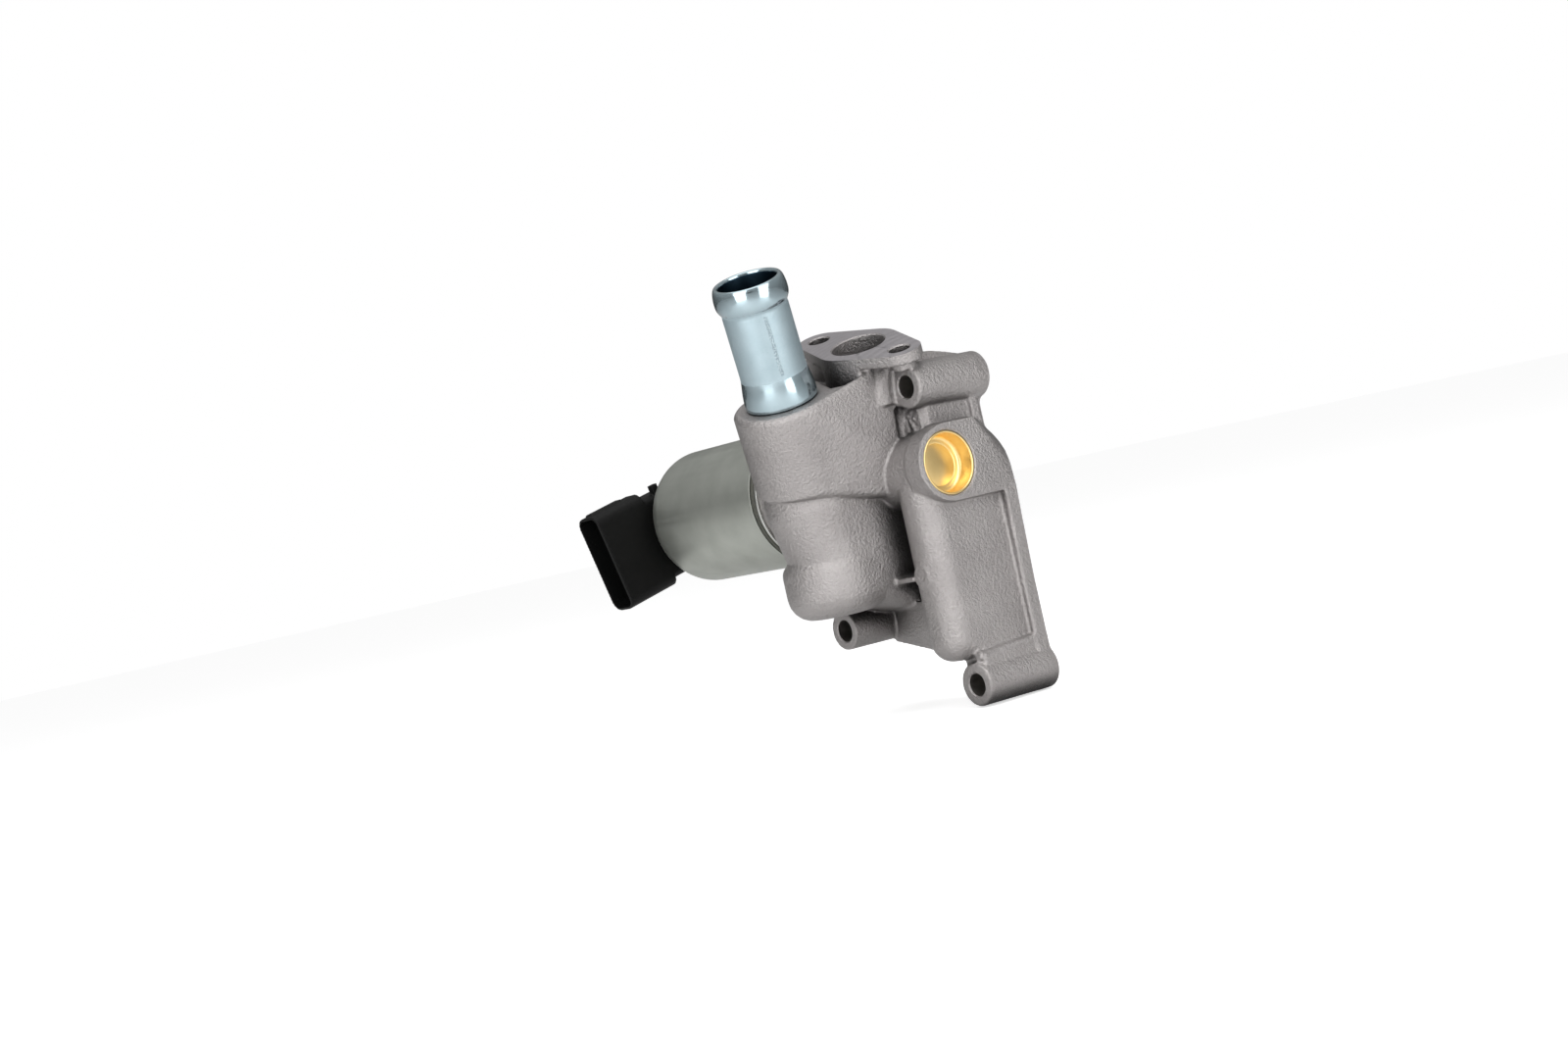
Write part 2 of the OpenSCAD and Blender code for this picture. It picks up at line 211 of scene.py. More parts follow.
def blockAt(name, low, high):
    # a cube between two corners given in mm
    deselect()
    centre = [(a + b) / 2 * mm for a, b in zip(low, high)]
    bpy.ops.mesh.primitive_cube_add(size=1, location=centre)
    obj = bpy.context.object
    obj.name = name
    obj.scale = [(b - a) * mm for a, b in zip(low, high)]
    applyPlace(obj)
    return obj


def cutWith(obj, cutter):
    applyModifier(obj, "BOOLEAN", operation="DIFFERENCE", object=cutter, solver="MANIFOLD")
    bpy.data.objects.remove(cutter)


def roundedAll(obj, look):
    # soft edges all over: a voxel remesh, smoothed, then thinned; its quads are two triangles each
    applyModifier(obj, "REMESH", mode="VOXEL", voxel_size=look["voxel"] * mm)
    applyModifier(obj, "SMOOTH", factor=0.5, iterations=look["smoothTurns"])
    applyModifier(obj, "DECIMATE", ratio=look["faces"] / (2 * len(obj.data.polygons)))


def brokenEdges(obj, width):
    # sharp edges taken off by a narrow bevel of this width in mm
    applyModifier(obj, "BEVEL", width=width * mm, segments=2, limit_method="ANGLE",
                  angle_limit=math.radians(40))


def dress(obj, *materials):
    obj.data.materials.clear()
    for material in materials:
        obj.data.materials.append(material)


def finishPiece(obj, node, angle=35):
    activate(obj)
    bpy.ops.object.shade_smooth_by_angle(angle=math.radians(angle))
    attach(obj, "valve_body")
    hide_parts(node)


# colours and shader helpers
def colour(hexCode):
    channels = [int(hexCode[i:i + 2], 16) / 255 for i in (1, 3, 5)]
    return [c / 12.92 if c <= 0.04045 else ((c + 0.055) / 1.055) ** 2.4 for c in channels] + [1]


def addNode(tree, kind, inputs, **settings):
    node = tree.nodes.new("ShaderNode" + kind)
    for key, value in settings.items():
        setattr(node, key, value)
    for key, value in inputs.items():
        if isinstance(value, bpy.types.NodeSocket):
            tree.links.new(value, node.inputs[key])
        else:
            node.inputs[key].default_value = value
    return node


def newMaterial(name, metallic):
    material = bpy.data.materials.new(name)
    material.use_nodes = True
    tree = material.node_tree
    shader = tree.nodes["Principled BSDF"]
    shader.inputs["Metallic"].default_value = metallic
    place = addNode(tree, "TexCoord", {}).outputs["Object"]
    return material, tree, shader, place


def perMm(size):
    return 1 / (size * mm)


def wavesPerMm(pitch):
    # a Wave texture of scale 1 repeats every pi / 10
    return math.pi / 10 * perMm(pitch)


def layFinish(tree, shader, look, tone, relief):
    # one pattern mixes the two colours, the other gives the relief and varies the roughness;
    # a colour Mix takes its colours at sockets 6 and 7 and gives its result at 2
    first, second = look["colours"]
    low, high = look["roughness"]
    skin = addNode(tree, "Mix", {0: tone, 6: colour(first), 7: colour(second)},
                   data_type="RGBA").outputs[2]
    gloss = addNode(tree, "MapRange", {"Value": relief, "To Min": low, "To Max": high}).outputs["Result"]
    bump = addNode(tree, "Bump", {"Strength": look["bump"], "Distance": look["depth"] * mm,
                                  "Height": relief}).outputs["Normal"]
    for key, socket in (("Base Color", skin), ("Roughness", gloss), ("Normal", bump)):
        tree.links.new(socket, shader.inputs[key])
    return skin


print("materials")


# die-cast aluminium, shot-blasted: a warm grey skin with a fine sparkling grain, drawn coarse
# enough to show; sizes in mm
castLook = {
    "metallic": 0.82, "colours": ("#8C8887", "#ABA7A6"), "roughness": (0.22, 0.54),
    "grain": 0.9, "mottle": 14, "sparkle": (0.2, 1.8), "bump": 0.65, "depth": 0.8,
    # painted shade: a near-black mixed into the skin where ambient occlusion finds deep pockets; reach in mm,
    # and how open to the air the metal is where the painted shade begins and where it is at its full cover
    "residue": "#262423", "reach": 14, "open": 0.66, "deep": 0.26, "cover": 0.9,
}


def castSkin():
    look = castLook
    material, tree, shader, place = newMaterial("castAluminium", look["metallic"])
    grain = addNode(tree, "TexNoise", {"Vector": place, "Scale": perMm(look["grain"]),
                                       "Detail": 3, "Roughness": 0.7}).outputs["Fac"]
    mottle = addNode(tree, "TexNoise", {"Vector": place, "Scale": perMm(look["mottle"]),
                                        "Detail": 4}).outputs["Fac"]
    dim, bright = look["sparkle"]
    sparkle = addNode(tree, "MapRange", {"Value": grain, "To Min": dim, "To Max": bright}).outputs["Result"]
    blend = addNode(tree, "Math", {0: mottle, 1: sparkle}, operation="MULTIPLY").outputs[0]
    skin = layFinish(tree, shader, look, blend, grain)
    # painted shade: the skin darkens towards the painted shade colour where the metal is sheltered
    shelter = addNode(tree, "AmbientOcclusion", {"Distance": look["reach"] * mm}, samples=6).outputs["AO"]
    shadeShare = addNode(tree, "MapRange", {"Value": shelter, "From Min": look["open"], "From Max": look["deep"],
                                        "To Max": look["cover"]}).outputs["Result"]
    shadedSkin = addNode(tree, "Mix", {0: shadeShare, 6: skin, 7: colour(look["residue"])}, data_type="RGBA")
    tree.links.new(shadedSkin.outputs[2], shader.inputs["Base Color"])
    return material


# face-milled aluminium: bright lilac grey with the cutter's fine arcs, drawn coarse enough to show
milledLook = {"metallic": 0.9, "colours": ("#A8A4A7", "#BDB9BC"), "roughness": (0.32, 0.44),
              "cloud": 3, "feed": 0.99, "wander": 0.6, "bump": 0.25, "depth": 0.01}


def milledFace():
    look = milledLook
    material, tree, shader, place = newMaterial("milledAluminium", look["metallic"])
    arcs = addNode(tree, "TexWave", {"Vector": place, "Scale": wavesPerMm(look["feed"]),
                                     "Distortion": look["wander"], "Detail": 1},
                   wave_type="RINGS", rings_direction="SPHERICAL").outputs["Fac"]
    cloud = addNode(tree, "TexNoise", {"Vector": place, "Scale": perMm(look["cloud"]),
                                       "Detail": 3}).outputs["Fac"]
    layFinish(tree, shader, look, cloud, arcs)
    return material


# bright zinc plate, blue passivated: cool grey, mirror-like where a tool has rolled it
zincLook = {"colours": ("#99ABB2", "#AEBEC4"), "cloud": 5, "streak": 0.6, "bump": 0.15, "depth": 0.02}


def zincPlate(name, metallic, roughness):
    look = dict(zincLook, roughness=roughness)
    material, tree, shader, place = newMaterial(name, metallic)
    cloud = addNode(tree, "TexNoise", {"Vector": place, "Scale": perMm(look["cloud"]),
                                       "Detail": 4}).outputs["Fac"]
    fine = addNode(tree, "TexNoise", {"Vector": place, "Scale": perMm(look["streak"]),
                                      "Detail": 2}).outputs["Fac"]
    layFinish(tree, shader, look, cloud, fine)
    return material


# zinc over the tube's weld seam: rough, with dark spots where the plating stayed thin
seamLook = {"metallic": 0.85, "colours": ("#AEBEC4", "#77858B"), "roughness": (0.4, 0.4),
            "spot": 0.28, "edge": (0.38, 0.6), "bump": 0.6, "depth": 0.15}


def seamPlate():
    look = seamLook
    material, tree, shader, place = newMaterial("seamZincPlate", look["metallic"])
    spots = addNode(tree, "TexNoise", {"Vector": place, "Scale": perMm(look["spot"]),
                                       "Detail": 4}).outputs["Fac"]
    low, high = look["edge"]
    burnt = addNode(tree, "MapRange", {"Value": spots, "From Min": low, "From Max": high}).outputs["Result"]
    layFinish(tree, shader, look, burnt, spots)
    return material


# satin zinc-plated deep-drawn steel: greenish grey with drawing streaks along the can
canLook = {"metallic": 0.9, "colours": ("#999C95", "#BABDB6"), "roughness": (0.36, 0.5), "cloud": 9,
           "streakWide": 2.2, "streakLong": 60, "contrast": (0.7, 1.3), "bump": 0.2, "depth": 0.01}


def canPlate():
    look = canLook
    material, tree, shader, place = newMaterial("satinZincPlate", look["metallic"])
    along = addNode(tree, "Mapping", {"Vector": place, "Scale": (
        look["streakWide"] / look["streakLong"], 1, 1)}).outputs["Vector"]
    streak = addNode(tree, "TexNoise", {"Vector": along, "Scale": perMm(look["streakWide"]),
                                        "Detail": 4}).outputs["Fac"]
    cloud = addNode(tree, "TexNoise", {"Vector": place, "Scale": perMm(look["cloud"]),
                                       "Detail": 4}).outputs["Fac"]
    dim, bright = look["contrast"]
    drawn = addNode(tree, "MapRange", {"Value": streak, "To Min": dim, "To Max": bright}).outputs["Result"]
    blend = addNode(tree, "Math", {0: cloud, 1: drawn}, operation="MULTIPLY").outputs[0]
    layFinish(tree, shader, look, blend, streak)
    return material


# turned metals: one finish each, with tool rings round the valve axis, drawn coarse enough to
# show; dark tone, light tone and the middle of the roughness
turnedLook = {
    "turnedSteel": ("#B4B5B1", "#CDCECA", 0.28),        # bright, ground or turned
    "heatResistantSteel": ("#77746F", "#8E8C88", 0.4),  # darker, turned
    "softIron": ("#8F8F8B", "#A9A9A6", 0.35),           # nickel-flashed magnet iron
    "springWire": ("#8B8F93", "#A6AAAE", 0.3),          # drawn wire
    "drawnBrass": ("#E9C989", "#F6DC9E", 0.32),         # pressed cup, glossy warm yellow
    "sinteredBronze": ("#9C7446", "#B98D5B", 0.45),     # porous, oily brown
    "tinnedBrass": ("#BDB083", "#D2C79A", 0.3),         # pale, stamped
    "oilyBore": ("#6E6A66", "#B0ACA8", 0.45),           # drilled aluminium, coloured darker as painted shade inside the bolt holes
}
toolLook = {"cloud": 4, "ring": 0.35, "ringStretch": 0.05, "play": 0.2, "bump": 0.2, "depth": 0.01}


def turnedMetal(name):
    dark, light, roughness = turnedLook[name]
    play = roughness * toolLook["play"]
    look = dict(toolLook, colours=(dark, light), roughness=(roughness - play, roughness + play))
    material, tree, shader, place = newMaterial(name, 1)
    around = addNode(tree, "Mapping", {"Vector": place, "Scale": (
        1, look["ringStretch"], look["ringStretch"])}).outputs["Vector"]
    rings = addNode(tree, "TexNoise", {"Vector": around, "Scale": perMm(look["ring"]),
                                       "Detail": 2}).outputs["Fac"]
    cloud = addNode(tree, "TexNoise", {"Vector": place, "Scale": perMm(look["cloud"]),
                                       "Detail": 3}).outputs["Fac"]
    layFinish(tree, shader, look, cloud, rings)
    return material


# glass-filled nylon, moulded: near-black, matte, with a faint spark-eroded texture
nylonLook = {"colours": ("#050505", "#080808"), "roughness": (0.42, 0.6), "specular": 0.2,
             "flow": 7, "texture": 0.25, "bump": 0.3, "depth": 0.03}


def glassNylon():
    look = nylonLook
    material, tree, shader, place = newMaterial("glassFilledNylon", 0)
    shader.inputs["Specular IOR Level"].default_value = look["specular"]
    texture = addNode(tree, "TexNoise", {"Vector": place, "Scale": perMm(look["texture"]),
                                         "Detail": 2}).outputs["Fac"]
    flow = addNode(tree, "TexNoise", {"Vector": place, "Scale": perMm(look["flow"]),
                                      "Detail": 3}).outputs["Fac"]
    layFinish(tree, shader, look, flow, texture)
    return material


# plain finishes of one pattern each
plainLook = {
    # painted shade: the inside of the tube, zinc plate coloured as a dark blue mirror so that it reads
    # shadowed
    "boreZincPlate": {"metallic": 1, "colours": ("#1B2A36", "#4A6478"), "roughness": (0.3, 0.3),
                      "pattern": "TexNoise", "scale": perMm(4), "bump": 0.15, "depth": 0.03},
    # moulded rubber: matte, with a dusty bloom
    "mouldedRubber": {"metallic": 0, "colours": ("#33332D", "#4E4F46"), "roughness": (0.6, 0.6),
                      "pattern": "TexNoise", "scale": perMm(1.2), "bump": 0.2, "depth": 0.03},
    # glass-cloth board laminate: green, with its weave
    "boardLaminate": {"metallic": 0, "colours": ("#1F5A38", "#2A6E46"), "roughness": (0.45, 0.45),
                      "pattern": "TexWave", "scale": wavesPerMm(0.99), "bump": 0.2, "depth": 0.02},
    # enamelled copper wire: the coil's turns, side by side
    "enamelledWire": {"metallic": 1, "colours": ("#8A4420", "#C77A45"), "roughness": (0.32, 0.32),
                      "pattern": "TexWave", "scale": wavesPerMm(1.58), "bump": 0.8, "depth": 0.2},
}


def plainFinish(name):
    look = plainLook[name]
    material, tree, shader, place = newMaterial(name, look["metallic"])
    pattern = addNode(tree, look["pattern"], {"Vector": place, "Scale": look["scale"],
                                              "Detail": 4}).outputs["Fac"]
    layFinish(tree, shader, look, pattern, pattern)
    return material


finishes = {
    "castAluminium": castSkin(), "milledAluminium": milledFace(),
    "zincPlate": zincPlate("zincPlate", 0.8, (0.39, 0.65)),
    "rolledZincPlate": zincPlate("rolledZincPlate", 0.9, (0.0975, 0.1625)),
    "seamZincPlate": seamPlate(), "satinZincPlate": canPlate(), "glassFilledNylon": glassNylon(),
}
for finish in turnedLook:
    finishes[finish] = turnedMetal(finish)
for finish in plainLook:
    finishes[finish] = plainFinish(finish)

# the inner parts that keep their CAD shape
nodeFinish = {
    "bore_plug": "turnedSteel", "seat_ring": "turnedSteel", "valve_head": "heatResistantSteel",
    "valve_stem": "turnedSteel", "stem_bush": "sinteredBronze", "stem_shield": "turnedSteel",
    "base_screws": "zincPlate", "front_washer": "softIron", "armature_sleeve": "turnedSteel",
    "coil_bobbin": "glassFilledNylon", "coil_winding": "enamelledWire", "back_washer": "softIron",
    "back_pole": "softIron", "armature": "softIron", "sensor_pin": "turnedSteel",
    "sensor_carrier": "boardLaminate", "sensor_wiper": "sinteredBronze",
}
for node, finish in nodeFinish.items():
    for slot in frame["nodes"][node].material_slots:
        slot.material = finishes[finish]


# housing: the CAD casting gets cast radii by remeshing, then its machined faces and bores are cut
print("housing")
housingLook = {
    "voxel": 0.42, "smoothTurns": 6, "faces": 190000,
    # where the flange and the foot of the spigot stand, and how far the drum ends before the seal, mm
    "flangeCentre": (-18.6, -28.3, 105.9), "spigotFoot": (-24.7, -56, 93.7), "drumGap": 1.2,
    # metal left on machined faces before they are cut, and what the cutters take off: a block
    # beyond the mounting face, then radius and far end over the flange and the drum, mm
    "stock": 2, "mountingCut": ((-120, 0, -40), (60, 60, 160)), "flangeCut": (30, 8), "drumCut": (26, 80),
    # bores in mm: chamfer, overrun of the drill, how much wider a bore is filled beforehand, and
    # how many times its radius a facet may lie out and still be its wall
    "chamfer": 0.4, "overrun": 3, "fill": 0.6, "wallSlack": 1.01,
    "lobeHole": 3.2, "lobeDepth": 6, "port": 8.2, "portDepth": 9, "socket": 10, "socketDepth": 10,
    "plugSeat": 9.6, "plugSeatEnds": (-5.5, 1.5),
}
flangeFace = mounts["pipe_flange_face"]
flangePlace = placeAlong(Vector(housingLook["flangeCentre"]) * mm, flangeFace["axis"])
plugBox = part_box("core_plug")
axisY = (plugBox[0].y + plugBox[1].y) / 2
axisZ = (plugBox[0].z + plugBox[1].z) / 2
linePlace = placeAlong((0, axisY, axisZ), (-1, 0, 0))
drumEnd = -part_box("base_seal")[1].x - housingLook["drumGap"] * mm
spigotFoot = Vector(housingLook["spigotFoot"]) * mm
spigotPlace = placeAlong(spigotFoot, flangeFace["axis"])
milledPlanes = [(Vector((0, 0, 0)), Vector((0, 1, 0))),
                (flangePlace.translation, Vector(flangeFace["axis"]).normalized()),
                (Vector((-drumEnd, 0, 0)), Vector((-1, 0, 0)))]
boltMounts = [mount for name, mount in mounts.items() if name.startswith("bolt_hole")]


def onPlane(face, point, normal, near=0.05, parallel=0.999):
    return face.normal.dot(normal) > parallel and abs((face.center - point).dot(normal)) < near * mm


def pin(place, radius, low, high, steps=64):
    return turned("pin", [(0, low), (radius, low), (radius, high), (0, high)], place, steps)


def chamferedPin(place, radius, low, high):
    # a cutter that widens to a chamfer at its mouth, and goes on past it
    wide, out = radius + housingLook["chamfer"], high + housingLook["overrun"]
    profile = [(0, low), (radius, low), (radius, high - housingLook["chamfer"]), (wide, high),
               (wide, out), (0, out)]
    return turned("pin", profile, place)


def boreList():
    # every bore but the bolt holes as place, radius, bottom and mouth; heights run outward
    look = housingLook
    bores = []
    for name in ("flange_hole_left", "flange_hole_right"):
        lobePlace = placeAlong(mounts[name]["pos_m"], flangeFace["axis"])
        bores.append((lobePlace, look["lobeHole"], -look["lobeDepth"], 0))
    bores.append((flangePlace, look["port"], -look["portDepth"], 0))
    bores.append((spigotPlace, look["socket"], -look["socketDepth"], 0))
    mouth, bottom = look["plugSeatEnds"]
    bores.append((placeAlong((0, axisY, axisZ), (1, 0, 0)), look["plugSeat"], -bottom, -mouth))
    return bores


def boltFill(mount):
    # a pin that closes a bolt hole, so that the remesh leaves its place clean
    place = placeAlong(mount["pos_m"], mount["axis"])
    return pin(place, mount["dims"]["r_mm"] + housingLook["fill"], 0, mount["dims"]["length_mm"])


def boltDrill(mount):
    # the bolt hole itself, chamfered at both ends
    radius, length = mount["dims"]["r_mm"], mount["dims"]["length_mm"]
    chamfer, overrun = housingLook["chamfer"], housingLook["overrun"]
    wide = radius + chamfer
    profile = [(0, -overrun), (wide, -overrun), (wide, 0), (radius, chamfer), (radius, length - chamfer),
               (wide, length), (wide, length + overrun), (0, length + overrun)]
    return turned("drill", profile, placeAlong(mount["pos_m"], mount["axis"]), 64)


# small features of the casting round the tower, the flange and the bosses, in mm
castDetail = {
    # the tower's upper right corner, filled between two outlines
    "cornerFoot": [(-9.8, -42, 86), (-9.65, -33.8, 86), (-8.3, -30.6, 86), (-8.3, -20, 86),
                   (-16, -20, 86), (-14, -42, 86)],
    "cornerTop": [(-10.2, -42, 94), (-9.65, -30.9, 97.8), (-7.1, -28.7, 98), (-7.1, -22, 98),
                  (-16, -22, 98), (-13, -42, 94)],
    # what is cut off to slant the side of the block beside the tower
    "sideFoot": [(-9.55, -34.5, 84), (-8.6, -30.7, 84), (-4, -31.5, 84), (-4, -38, 84), (-9.55, -38, 84)],
    "sideTop": [(-9.55, -30.8, 98), (-7, -28.6, 98), (-4, -30, 97.2), (-4, -38, 96.6), (-9.55, -38, 97.4)],
    # the blend below the flange's right lobe
    "blendStart": (-7.8, -28.6, 97.1), "blendEnd": (0.5, -26.6, 96.6), "blendRadius": 1.2,
    # the wall under the flange's left lobe, in the flange's own frame
    "wall": ((-17.6, -8, -16), (-7, -2.6, -3.1)),
    # the web between duct and lower boss, and its rounded rib
    "web": ((-5, -25.3, 4), (4.1, 0, 8.4)),
    "ribStart": (2.2, -26.4, 8.1), "ribEnd": (3.4, 0, 9.1), "ribRadius": 1.4,
    # the shadowed groove under the upper boss, cut into the casting
    "gapStart": (-9.9, -25.5, 86.2), "gapEnd": (-8.4, -27, 75.6), "gapRadius": 1.5,
    # lumps of flash that the trimming left beside the groove: place and radius
    "flash": [(-8.6, -23.7, 83.4, 0.7), (-8.4, -23.8, 81.6, 0.8), (-7.6, -24, 80, 0.7),
              (-7, -23.9, 78.4, 0.8), (-6.2, -24.1, 77.2, 0.7), (-6.9, -24.1, 82.4, 0.5),
              (-5.8, -24.1, 80.4, 0.5)],
}


def prism(foot, top):
    # a leaning column between two outlines, extruded from a filled ring
    deselect()
    bpy.ops.mesh.primitive_circle_add(vertices=len(foot), radius=mm, fill_type="NGON")
    obj = bpy.context.object
    bpy.ops.object.mode_set(mode="EDIT")
    bpy.ops.mesh.select_all(action="SELECT")
    bpy.ops.mesh.extrude_region_move(TRANSFORM_OT_translate={"value": (0, 0, mm)})
    leaveEdit()
    for vertex, corner in zip(obj.data.vertices, foot + top):
        vertex.co = Vector(corner) * mm
    activate(obj)
    bpy.ops.object.mode_set(mode="EDIT")
    bpy.ops.mesh.select_all(action="SELECT")
    bpy.ops.mesh.normals_make_consistent(inside=False)
    leaveEdit()
    return obj


def bar(name):
    # a round bar between two points of the casting
    start, end = Vector(castDetail[name + "Start"]), Vector(castDetail[name + "End"])
    return pin(placeAlong(start * mm, end - start), castDetail[name + "Radius"], 0, (end - start).length, 24)


def lump(x, y, z, radius):
    deselect()
    bpy.ops.mesh.primitive_ico_sphere_add(subdivisions=2, radius=radius * mm,
                                          location=(x * mm, y * mm, z * mm))
    applyPlace(bpy.context.object)
    return bpy.context.object


def castAdditions():
    # what joins the casting before it gets its radii: closed bores, then the small features
    additions = [boltFill(mount) for mount in boltMounts]
    for place, radius, bottom, mouth in boreList():
        additions.append(pin(place, radius + housingLook["fill"], bottom, mouth))
    additions.append(prism(castDetail["cornerFoot"], castDetail["cornerTop"]))
    additions.append(blockAt("web", *castDetail["web"]))
    additions += [bar("rib"), bar("blend")]
    wall = blockAt("wall", *castDetail["wall"])
    wall.matrix_world = flangePlace
    applyPlace(wall)
    additions.append(wall)
    return additions + [lump(*spot) for spot in castDetail["flash"]]


def castBody():
    casting = copyNode("housing", "valveHousing")
    for point, normal in milledPlanes:
        pickFaces(casting, lambda face: onPlane(face, point, normal))
        bpy.ops.mesh.extrude_region_move(
            TRANSFORM_OT_translate={"value": normal * housingLook["stock"] * mm})
        leaveEdit()
    cutWith(casting, bar("gap"))
    cutWith(casting, prism(castDetail["sideFoot"], castDetail["sideTop"]))
    joinAll(casting, castAdditions())
    roundedAll(casting, housingLook)
    return casting


def machine(casting):
    # the faces are milled, then the holes are drilled
    cutWith(casting, blockAt("cut", *housingLook["mountingCut"]))
    radius, top = housingLook["flangeCut"]
    cutWith(casting, pin(flangePlace, radius, 0, top))
    radius, top = housingLook["drumCut"]
    cutWith(casting, pin(linePlace, radius, drumEnd / mm, top))
    for mount in boltMounts:
        cutWith(casting, boltDrill(mount))
    for place, radius, bottom, mouth in boreList():
        cutWith(casting, chamferedPin(place, radius, bottom, mouth))


def inHole(face, holes):
    # the wall of a hole that runs along Y, without its chamfers
    centre = face.center
    return any(math.hypot(centre.x - x, centre.z - z) < reach for x, z, reach in holes)


def makeHousing():
    casting = castBody()
    machine(casting)
    skins = ["castAluminium", "milledAluminium", "oilyBore"]
    dress(casting, *(finishes[skin] for skin in skins))
    # painted shade: the walls of the bolt holes are found here and get the darker drilled finish
    holes = [(mount["pos_m"][0], mount["pos_m"][2], mount["dims"]["r_mm"] * housingLook["wallSlack"] * mm)
             for mount in boltMounts]
    for face in casting.data.polygons:
        if any(onPlane(face, point, normal) for point, normal in milledPlanes):
            face.material_index = skins.index("milledAluminium")
        elif inHole(face, holes):
            face.material_index = skins.index("oilyBore")
    finishPiece(casting, "housing")
    print("housing faces", len(casting.data.polygons))


makeHousing()

# hose spigot: turned tube with a foot collar, a rolled bead and a thin rounded lip
print("hose spigot")
spigotLook = {
    "bore": 8.9, "tube": 10, "socketDepth": 10, "pressFit": 0.02, "collarFoot": 0.15, "boreRing": 20,
    "collar": [(10.6, 0.2), (10.93, 0.5), (11, 1), (11, 1.8), (10.93, 3), (10.78, 4.6), (10.55, 6.2),
               (10.25, 8), (10.06, 9.4), (10, 10.4)],
    "bead": [(10, 28.8), (9.93, 29.2), (9.93, 29.7), (10.1, 30.2), (10.5, 30.9), (10.87, 31.7),
             (11.06, 32.6), (11.1, 33.6), (11.05, 34.8), (10.88, 36.1), (10.6, 37.2), (10.2, 37.95),
             (9.75, 38.2), (9.25, 38.05), (8.98, 37.6), (8.9, 37)],
    # tool-rolled zones that shine: above and below these heights
    "shinyAbove": 30.6, "shinyBelow": 9,
    # the tube's weld seam: which side it is on, its half width and its ends, in mm
    "seamSide": (0.874, -0.363, -0.324), "seamWidth": 0.7, "seam": (11, 28),
    # how far outside the bore's radius a face may lie and still be its wall, or must lie for the seam
    "boreSlack": 0.05, "seamReach": 0.5,
}


def makeSpigot():
    look = spigotLook
    bore, inSocket = look["bore"], look["tube"] - look["pressFit"]
    profile = [(bore, -look["socketDepth"]), (inSocket, -look["socketDepth"]), (inSocket, look["collarFoot"])]
    profile += softened(look["collar"]) + softened(look["bead"], 5)
    profile += [(bore, look["boreRing"]), profile[0]]
    piece = turned("hoseSpigot", profile, spigotPlace, 160)
    coats = ["zincPlate", "rolledZincPlate", "seamZincPlate", "boreZincPlate"]
    dress(piece, *(finishes[coat] for coat in coats))
    axis, seamSide = Vector(flangeFace["axis"]), Vector(look["seamSide"])
    seamLow, seamHigh = look["seam"]
    for face in piece.data.polygons:
        offset = (face.center - spigotFoot) / mm
        height = offset.dot(axis)
        # painted shade: faces inside the bore get the dark blue finish
        if (offset - axis * height).length < bore + look["boreSlack"]:
            face.material_index = coats.index("boreZincPlate")
        elif height > look["shinyAbove"] or height < look["shinyBelow"]:
            face.material_index = coats.index("rolledZincPlate")
        elif seamLow < height < seamHigh and offset.dot(seamSide) > bore + look["seamReach"]:
            if abs(offset.dot(axis.cross(seamSide))) < look["seamWidth"]:
                face.material_index = coats.index("seamZincPlate")
    finishPiece(piece, "hose_spigot")


makeSpigot()

# cup plug: deep-drawn brass cup, open towards +X, with a rounded lip and a pressed ring in its floor
print("core plug")
plugLook = {"wall": 9.6, "bore": 8.75, "back": 1.45, "backRadius": 1.5, "lip": -5.15, "lipRadius": 0.42,
            "taper": 0.15, "floor": 0.25, "corner": 1.3, "ring": 6.4, "ringHalf": 0.25, "ringRise": 0.09}


def makePlug():
    look = plugLook
    backRadius, lipRadius, corner = look["backRadius"], look["lipRadius"], look["corner"]
    ring, floor = look["ring"], look["floor"]
    profile = [(0, look["back"])]
    profile += arcPoints(look["wall"] - backRadius, look["back"] - backRadius, backRadius, 90, 0, 8)
    profile += arcPoints(look["wall"] - lipRadius, look["lip"] + lipRadius, lipRadius, 0, -180, 10)
    profile += arcPoints(look["bore"] - look["taper"] - corner, floor - corner, corner, 0, 90, 10)
    profile += [(ring + look["ringHalf"], floor), (ring, floor + look["ringRise"]),
                (ring - look["ringHalf"], floor), (0, floor)]
    piece = turned("corePlug", profile, linePlace, 144)
    dress(piece, finishes["drawnBrass"])
    finishPiece(piece, "core_plug")


makePlug()

# solenoid can: deep-drawn, with a trimmed mouth and a large drawing radius at its end
print("solenoid can")
canShape = {"outer": 22, "inner": 20.5, "mouth": 66.2, "mouthFlat": 0.6, "mouthRadius": 0.2,
            "end": 129, "corner": 9.5, "wall": 1.5, "hole": 9}


def makeCan():
    look = canShape
    outer, inner, mouth, end = look["outer"], look["inner"], look["mouth"], look["end"]
    corner, wall, trim = look["corner"], look["wall"], look["mouthRadius"]
    profile = [(inner, mouth), (outer - look["mouthFlat"], mouth)]
    profile += arcPoints(outer - trim, mouth + trim, trim, -90, 0, 4)
    profile += arcPoints(outer - corner, end - corner, corner, 0, 90, 20)
    profile += [(look["hole"], end), (look["hole"], end - wall)]
    profile += arcPoints(outer - corner, end - corner, corner - wall, 90, 0, 12)
    profile += [(inner, mouth)]
    piece = turned("solenoidCan", profile, linePlace, 192)
    dress(piece, finishes["satinZincPlate"])
    finishPiece(piece, "solenoid_can")


makeCan()

# ring seal: squeezed out a little round its middle
print("base seal")
sealLook = {"inner": 20.32, "outer": 21.8, "low": 64.62, "high": 66.18}


def makeSeal():
    look = sealLook
    middle, half = (look["low"] + look["high"]) / 2, (look["high"] - look["low"]) / 2
    profile = [(look["inner"], look["low"])]
    profile += arcPoints(look["outer"] - half, middle, half, -90, 90, 12)
    profile += [(look["inner"], look["high"]), (look["inner"], look["low"])]
    piece = turned("baseSeal", profile, linePlace, 144)
    dress(piece, finishes["mouldedRubber"])
    finishPiece(piece, "base_seal")


makeSeal()

